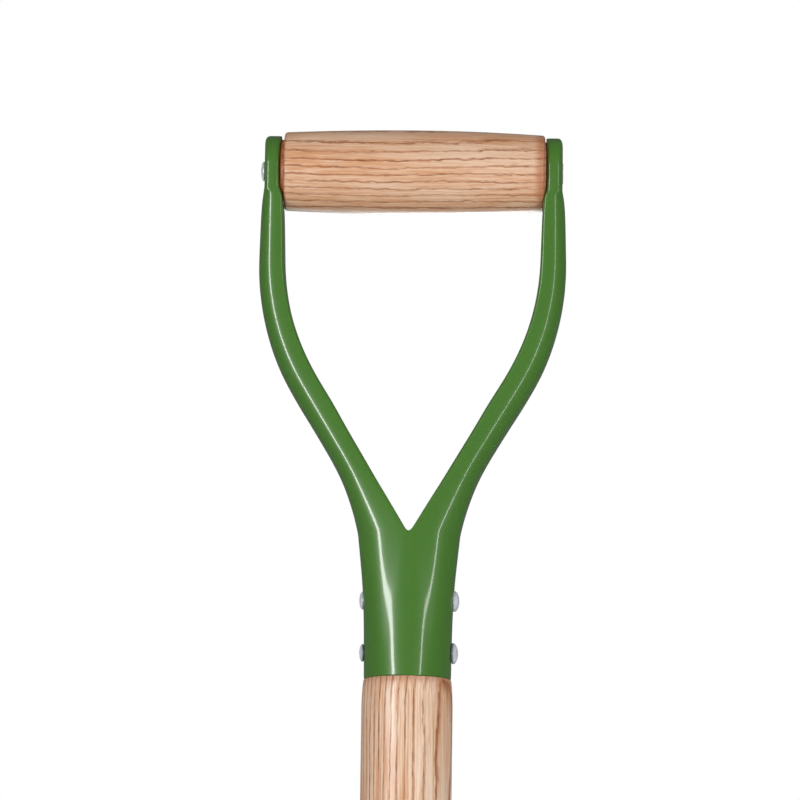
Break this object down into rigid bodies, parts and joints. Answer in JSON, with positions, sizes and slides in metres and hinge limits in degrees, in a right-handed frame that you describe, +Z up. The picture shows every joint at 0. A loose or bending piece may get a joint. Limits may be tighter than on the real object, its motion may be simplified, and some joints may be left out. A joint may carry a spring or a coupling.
{
  "type": "garden spade",
  "caption": "Digging spade with a dished forged blade and closed socket, straight ash shaft, and a Y-shaped pressed steel handle holding a turned wooden grip.",
  "frame": {"origin": "middle of the cutting edge, at the bottom of the blade", "axes": "+Z up along the shaft towards the grip, +X along the grip, -Y the way the hollow face of the blade looks"},
  "size_m": [0.1892, 0.0502, 1.0128],
  "materials": {
    "green_paint": "gloss green enamel over steel",
    "ash_wood": "satin clear varnish over straight-grained ash",
    "zinc_steel": "bright zinc plated"
  },
  "bodies": {
    "root": {"blade": "green_paint", "tread_left": "green_paint", "tread_right": "green_paint", "socket_rivet_lower": "zinc_steel", "socket_rivet_upper": "zinc_steel", "shaft": "ash_wood", "handle_yoke": "green_paint", "yoke_rivet_lower": "zinc_steel", "yoke_rivet_upper": "zinc_steel", "grip": "ash_wood", "grip_rivet": "zinc_steel"}
  },
  "joints": []
}
